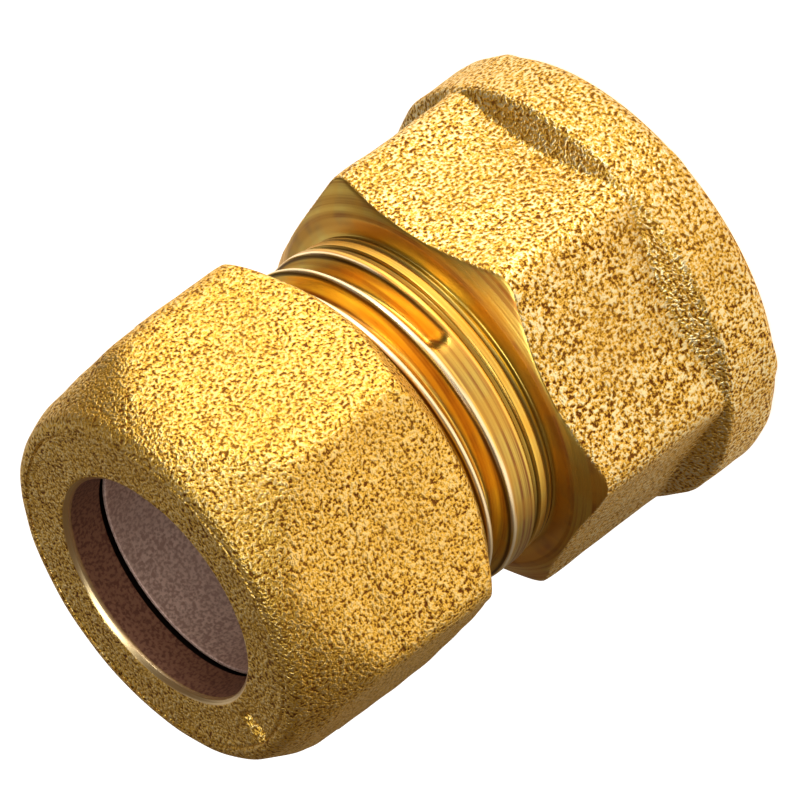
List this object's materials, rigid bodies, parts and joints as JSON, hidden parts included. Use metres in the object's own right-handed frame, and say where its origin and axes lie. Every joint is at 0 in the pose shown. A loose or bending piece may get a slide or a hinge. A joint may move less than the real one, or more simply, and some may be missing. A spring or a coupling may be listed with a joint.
{
  "type": "compression fitting",
  "caption": "Straight brass compression fitting: hexagon nut over a sealing ring on one end, hexagon body with a round collar and a threaded socket on the other.",
  "frame": {"origin": "centre of the round collar's end face, where the threaded socket opens", "axes": "+Z runs along the fitting's axis from the collar to the nut's round face; the body's hexagon has corners on X and flats facing Y, and the nut's is turned from it by -4 degrees about +Z"},
  "size_m": [0.027, 0.027, 0.0355],
  "materials": {
    "body_brass": "shot-blasted forging with a bright turned shoulder and thread",
    "nut_brass": "shot-blasted forging",
    "olive_brass": "dull, annealed"
  },
  "bodies": {
    "fitting_body": {"body": "body_brass"},
    "ring": {"olive": "olive_brass"},
    "nut": {"compression_nut": "nut_brass"}
  },
  "joints": [
    {"name": "nut_travel", "type": "slide", "parent": "fitting_body", "child": "ring", "axis": [0, 0, 1], "range_m": [0, 0.00635]},
    {"name": "nut_turn", "type": "hinge", "parent": "ring", "child": "nut", "pos_m": [0, 0, 0.0284], "axis": [0, 0, 1], "range_deg": [0, 1260]}
  ],
  "couplings": [
    {"joint": "nut_travel", "follows": "nut_turn", "m_per_rad": 0.00028871}
  ]
}
